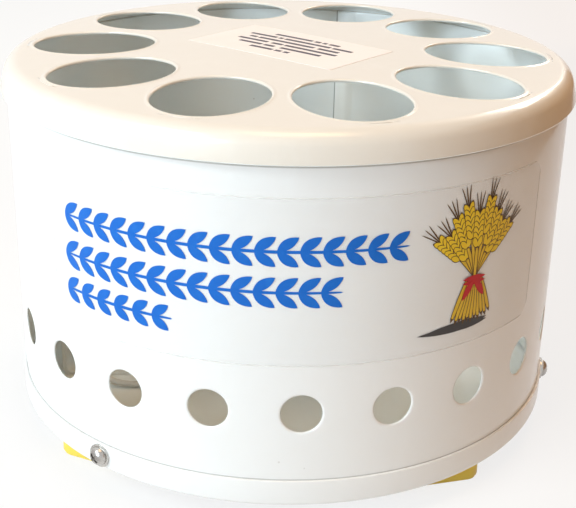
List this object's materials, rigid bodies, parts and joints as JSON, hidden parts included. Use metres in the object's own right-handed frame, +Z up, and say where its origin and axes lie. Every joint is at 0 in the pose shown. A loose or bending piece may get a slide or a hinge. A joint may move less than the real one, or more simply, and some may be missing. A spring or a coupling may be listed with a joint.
{
  "type": "egg candling lamp",
  "caption": "Low round sheet-metal drum on block feet, with a lift-off lid of oval egg holes, a ring of vents and a filament lamp inside for candling eggs.",
  "frame": {"origin": "on the floor under the drum's axis, at the underside of the feet", "axes": "+Z up along the drum's axis, -Y towards the front with the label film, +X to the right seen from the front"},
  "size_m": [0.2158, 0.2146, 0.143],
  "materials": {
    "lid_paint": "gloss warm white paint",
    "drum_paint": "gloss warm white paint",
    "pan_paint": "gloss warm white paint",
    "foot_yellow": "satin yellow",
    "zinc_steel": "bright zinc plate",
    "bracket_steel": "zinc plated sheet",
    "porcelain": "glazed white porcelain",
    "brass": "bright brass",
    "cap_metal": "bright rolled sheet",
    "black_glass": "black glass",
    "solder": "dull solder",
    "clear_glass": "clear glass",
    "lead_wire": "bare wire",
    "tungsten": "dark coiled wire",
    "white_plastic": "natural white plastic",
    "cream_sleeve": "cream heat-proof sleeve",
    "white_sleeve": "white heat-proof sleeve",
    "green_yellow_sleeve": "green and yellow insulation",
    "grommet_rubber": "black rubber"
  },
  "bodies": {
    "lid": {"lid": "lid_paint"},
    "drum": {"shell": "drum_paint", "base_pan": "pan_paint", "housing_screws": "zinc_steel", "housing_washers": "zinc_steel", "housing_nuts": "zinc_steel", "foot_front_right": "foot_yellow", "foot_front_left": "foot_yellow", "foot_back_right": "foot_yellow", "foot_back_left": "foot_yellow", "foot_screws": "zinc_steel", "foot_nuts": "zinc_steel", "lamp_bracket": "bracket_steel", "bracket_screws": "zinc_steel", "bracket_nuts": "zinc_steel", "lamp_holder": "porcelain", "holder_sleeve": "brass", "holder_contact": "brass", "holder_clamps": "brass", "clamp_screws": "zinc_steel", "holder_screws": "zinc_steel", "holder_nuts": "zinc_steel", "bulb_cap": "cap_metal", "bulb_insulator": "black_glass", "bulb_contact": "solder", "bulb_glass": "clear_glass", "bulb_stem": "clear_glass", "bulb_leads": "lead_wire", "bulb_filament": "tungsten", "terminal_block": "white_plastic", "terminal_tubes": "brass", "terminal_screws": "zinc_steel", "block_screw": "zinc_steel", "block_nut": "zinc_steel", "live_wire": "cream_sleeve", "neutral_wire": "white_sleeve", "earth_wire": "green_yellow_sleeve", "earth_tag": "brass", "earth_screw": "zinc_steel", "earth_nut": "zinc_steel", "cord_grommet": "grommet_rubber"}
  },
  "joints": [
    {"name": "lid_lift", "type": "slide", "parent": "drum", "child": "lid", "axis": [0, 0, 1], "range_m": [0, 0.1]}
  ]
}
